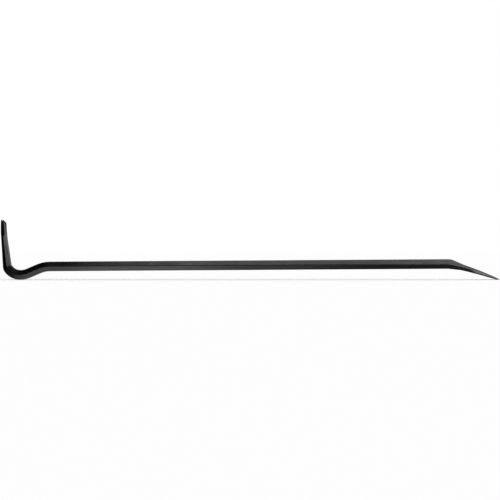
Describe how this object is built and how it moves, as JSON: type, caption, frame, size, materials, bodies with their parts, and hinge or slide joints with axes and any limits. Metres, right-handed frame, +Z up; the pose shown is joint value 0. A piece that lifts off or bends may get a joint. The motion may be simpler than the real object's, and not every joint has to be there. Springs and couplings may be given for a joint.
{
  "type": "crowbar",
  "caption": "Hexagonal steel bar with a gooseneck and a slotted, bevelled claw at one end and a bent flat chisel at the other, lacquered black.",
  "frame": {"origin": "on the bench, below the middle of the bar's length and in its mid-plane", "axes": "+X along the bar towards the chisel, +Y across the bar, +Z up out of the bench, with the claw pointing up and the bar standing on its heel and its chisel edge"},
  "size_m": [1.0006, 0.028, 0.1206],
  "materials": {
    "black_lacquer": "satin black lacquer over forged steel"
  },
  "bodies": {
    "root": {"forged_bar": "black_lacquer"}
  },
  "joints": []
}
